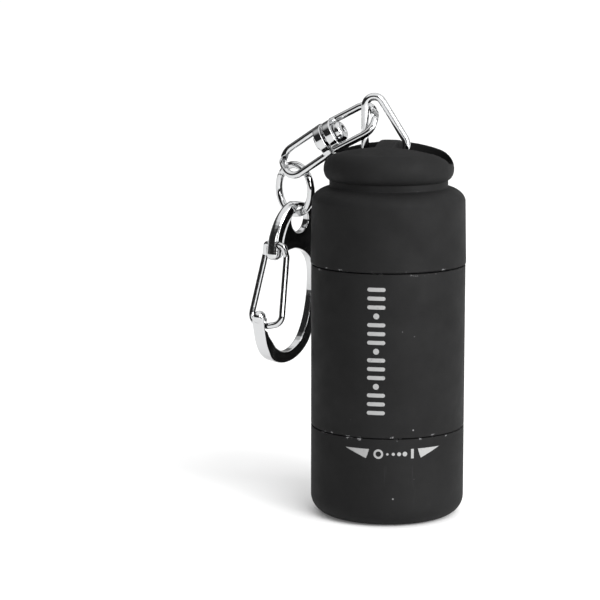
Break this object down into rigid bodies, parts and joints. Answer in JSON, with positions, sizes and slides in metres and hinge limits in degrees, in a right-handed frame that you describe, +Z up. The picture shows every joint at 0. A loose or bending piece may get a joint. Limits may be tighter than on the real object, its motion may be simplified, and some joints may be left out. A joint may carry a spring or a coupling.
{
  "type": "keychain flashlight",
  "caption": "Small rubber-coated torch with a twist head and pull-off tail cap over a charging plug, on a wire bail, swivel, ring and snap clasp.",
  "frame": {"origin": "on the torch's axis, in the plane of the head's rim that it stands on, 0.3 mm below the lens's flat front", "axes": "+Z runs up the torch from the lens to the tail cap; X is the axis that the bail swings about in the tail cap's pocket, with the clasp chain on the -X side; -Y is the printed front"},
  "size_m": [0.0284, 0.02, 0.0544],
  "materials": {
    "rubber_coat": "matte black soft-touch coat with fine dust and faint scuffs",
    "chrome_wire": "polished nickel-chrome plate",
    "lens_clear": "clear moulded lens",
    "reflector_mirror": "vacuum-metallised bowl",
    "seal_rubber": "satin black seal rubber",
    "board_green": "solder-masked circuit board",
    "black_plastic": "moulded black plastic with a fine grain",
    "white_plastic": "moulded white plastic",
    "phosphor": "yellow LED phosphor under a clear dome",
    "nickel": "nickel-plated steel",
    "gold_contact": "gold-plated contact",
    "cell_foil": "heat-sealed foil pouch",
    "plug_steel": "bright nickel-plated plug shell"
  },
  "bodies": {
    "barrel": {"barrel_shell": "rubber_coat", "head_seal_ring": "seal_rubber", "contact_plate": "board_green", "carrier_front": "black_plastic", "carrier_rear": "black_plastic", "tail_bulkhead": "black_plastic", "battery_cell": "cell_foil", "battery_tab_positive": "nickel", "battery_tab_negative": "nickel", "control_board": "board_green", "charge_chip": "black_plastic", "board_inductor": "nickel", "charge_indicator": "white_plastic", "usb_shell": "plug_steel", "usb_tongue": "white_plastic", "usb_contact_1": "gold_contact", "usb_contact_2": "gold_contact", "usb_contact_3": "gold_contact", "usb_contact_4": "gold_contact"},
    "head": {"head_shell": "rubber_coat", "lens": "lens_clear", "lens_seal": "seal_rubber", "reflector": "reflector_mirror", "led_emitter": "phosphor", "led_board": "board_green", "contact_spring": "nickel"},
    "tail_cap": {"tail_cap": "rubber_coat", "tail_seal_ring": "seal_rubber"},
    "bail": {"bail": "chrome_wire"},
    "link_upper": {"swivel_link_upper": "chrome_wire", "swivel_rivet": "chrome_wire"},
    "link_lower": {"swivel_link_lower": "chrome_wire"},
    "ring": {"jump_ring": "chrome_wire"},
    "clasp": {"clasp_body": "chrome_wire"},
    "gate": {"clasp_gate": "chrome_wire"}
  },
  "joints": [
    {"name": "head_twist", "type": "hinge", "parent": "barrel", "child": "head", "pos_m": [0, 0, 0.01], "axis": [0, 0, 1], "range_deg": [0, 90]},
    {"name": "cap_pull", "type": "slide", "parent": "barrel", "child": "tail_cap", "axis": [0, 0, 1], "range_m": [0, 0.016]},
    {"name": "bail_swing", "type": "hinge", "parent": "tail_cap", "child": "bail", "pos_m": [0.0001, 0, 0.0458], "axis": [1, 0, 0], "range_deg": [0, 35]},
    {"name": "link_swing", "type": "hinge", "parent": "bail", "child": "link_upper", "pos_m": [-0.00321, 0, 0.05047], "axis": [0.1736, 0.9848, 0], "range_deg": [0, 25]},
    {"name": "swivel_spin", "type": "hinge", "parent": "link_upper", "child": "link_lower", "pos_m": [-0.00795, 0.00126, 0.0485], "axis": [-0.8571, 0.1511, -0.4924], "range_deg": [0, 90]},
    {"name": "ring_swing", "type": "hinge", "parent": "link_lower", "child": "ring", "pos_m": [-0.01381, 0.00229, 0.04479], "axis": [0, 1, 0], "range_deg": [0, 60]},
    {"name": "clasp_swing", "type": "hinge", "parent": "ring", "child": "clasp", "pos_m": [-0.01253, 0.00356, 0.03871], "axis": [0.829, -0.5592, 0], "range_deg": [-60, 15]},
    {"name": "gate_open", "type": "hinge", "parent": "clasp", "child": "gate", "pos_m": [-0.01489, 0.00006, 0.03455], "axis": [0.829, -0.5592, 0], "range_deg": [0, 30], "stiffness_Nm_per_rad": 0.002}
  ]
}
